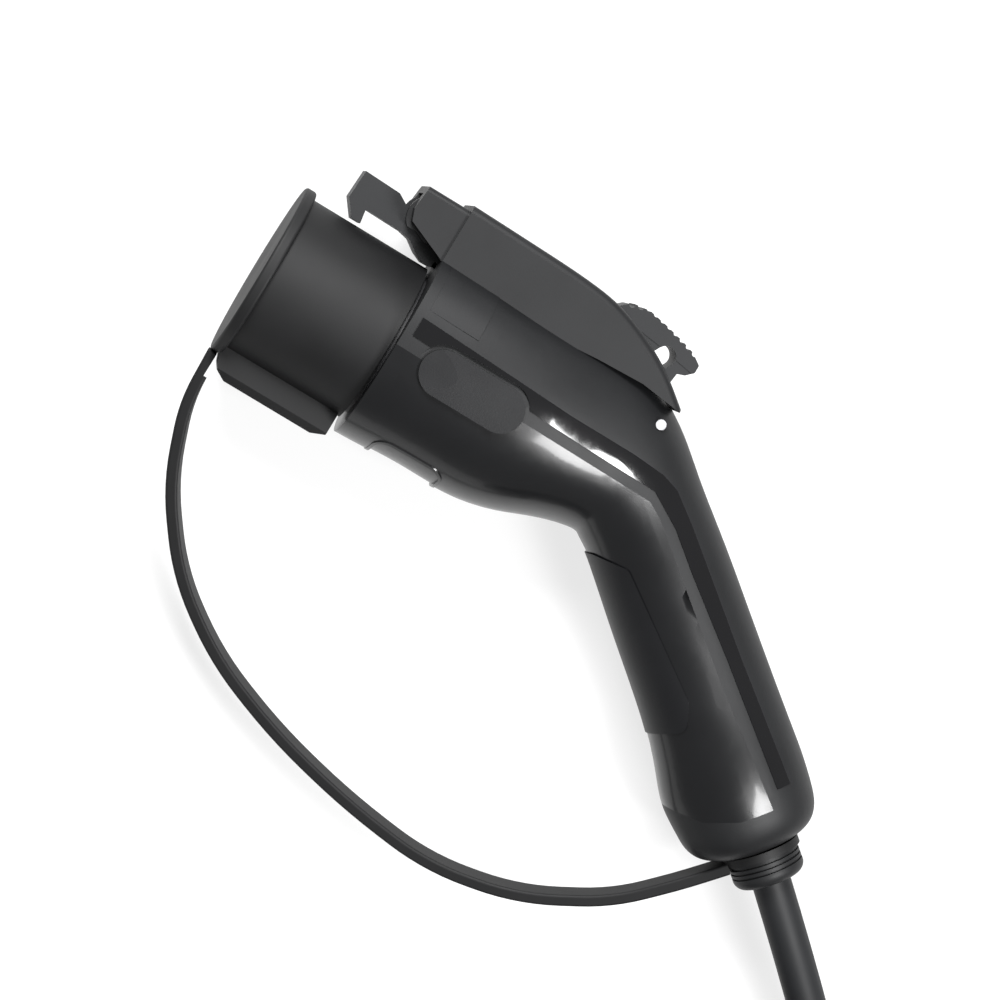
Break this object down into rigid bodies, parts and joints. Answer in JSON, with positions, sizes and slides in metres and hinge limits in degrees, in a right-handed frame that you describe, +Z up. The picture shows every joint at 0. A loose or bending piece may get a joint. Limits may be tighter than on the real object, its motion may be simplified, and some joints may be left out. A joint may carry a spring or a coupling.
{
  "type": "ev charging plug",
  "caption": "Black hand-held plug for charging an electric car, with a rubber dust cap on a strap, a thumb-operated latch, a bent grip and a coiled cable",
  "frame": {"origin": "centre of the plug's own bounding box, without its cable, on the surface that its side pad rests on", "axes": "+X back along the nose axis away from the contacts, +Y towards the latch, +Z up from the surface that the plug lies on, across the plug"},
  "size_m": [0.3316, 0.3563, 0.0587],
  "materials": {
    "shell_back": "fine grained matte dark grey-black moulding",
    "shell_front": "satin to gloss black moulding",
    "gloss_trim": "high gloss black inlay",
    "grain_pad": "grained satin black pad",
    "grip_rubber": "soft satin black grip",
    "cap_rubber": "matte black rubber",
    "cable_jacket": "matte dark grey cable jacket",
    "lever_plastic": "fine grained dark grey plastic",
    "insulator": "black contact insulator",
    "contact_silver": "silver plated contact",
    "steel": "zinc plated steel",
    "spring_steel": "spring wire",
    "seal_rubber": "seal rubber",
    "switch_case": "switch case",
    "switch_button": "red plunger",
    "board_green": "solder resist",
    "core_brown": "brown core",
    "core_blue": "blue core",
    "core_green_yellow": "green and yellow core",
    "core_white": "white core",
    "tie_fabric": "woven hook and loop tie"
  },
  "bodies": {
    "housing": {"back_shell": "shell_back", "cable_clamp": "insulator", "cable_coil": "cable_jacket", "cable_end": "cable_jacket", "cable_sheath": "cable_jacket", "cap_strap": "cap_rubber", "circuit_board": "board_green", "clamp_screws": "steel", "coil_ties": "tie_fabric", "contact_carrier": "insulator", "contact_earth": "contact_silver", "contact_line": "contact_silver", "contact_neutral": "contact_silver", "contact_pilot": "contact_silver", "contact_proximity": "contact_silver", "contact_retainer": "insulator", "core_earth": "core_green_yellow", "core_line": "core_brown", "core_neutral": "core_blue", "core_pilot": "core_white", "end_cores": "core_brown", "end_ferrules": "contact_silver", "finger_grip": "grip_rubber", "front_shell": "shell_front", "gland_nut": "shell_back", "gland_seal": "seal_rubber", "latch_block": "shell_back", "latch_cover": "shell_back", "latch_pin": "steel", "latch_spring": "spring_steel", "nose_gasket": "seal_rubber", "nose_shroud": "insulator", "power_cable": "cable_jacket", "shell_screws": "steel", "side_pad_left": "grain_pad", "side_pad_right": "grain_pad", "side_screws": "steel", "side_trim_left": "gloss_trim", "side_trim_right": "gloss_trim", "strap_collar": "cap_rubber", "switch_body": "switch_case"},
    "latch": {"latch_lever": "lever_plastic"},
    "plunger": {"switch_plunger": "switch_button"},
    "cap": {"dust_cap": "cap_rubber"}
  },
  "joints": [
    {"name": "latch_pivot", "type": "hinge", "parent": "housing", "child": "latch", "pos_m": [-0.04682, 0.07122, 0.0283], "axis": [0, 0, -1], "range_deg": [0, 6], "stiffness_Nm_per_rad": 2, "deforming": ["latch_spring"]},
    {"name": "switch_travel", "type": "slide", "parent": "housing", "child": "plunger", "axis": [0, -1, 0], "range_m": [0, 0.0016]},
    {"name": "cap_pull", "type": "slide", "parent": "housing", "child": "cap", "axis": [-1, 0, 0], "range_m": [0, 0.055], "deforming": ["cap_strap"]}
  ],
  "couplings": [
    {"joint": "switch_travel", "follows": "latch_pivot", "m_per_rad": 0.015}
  ]
}
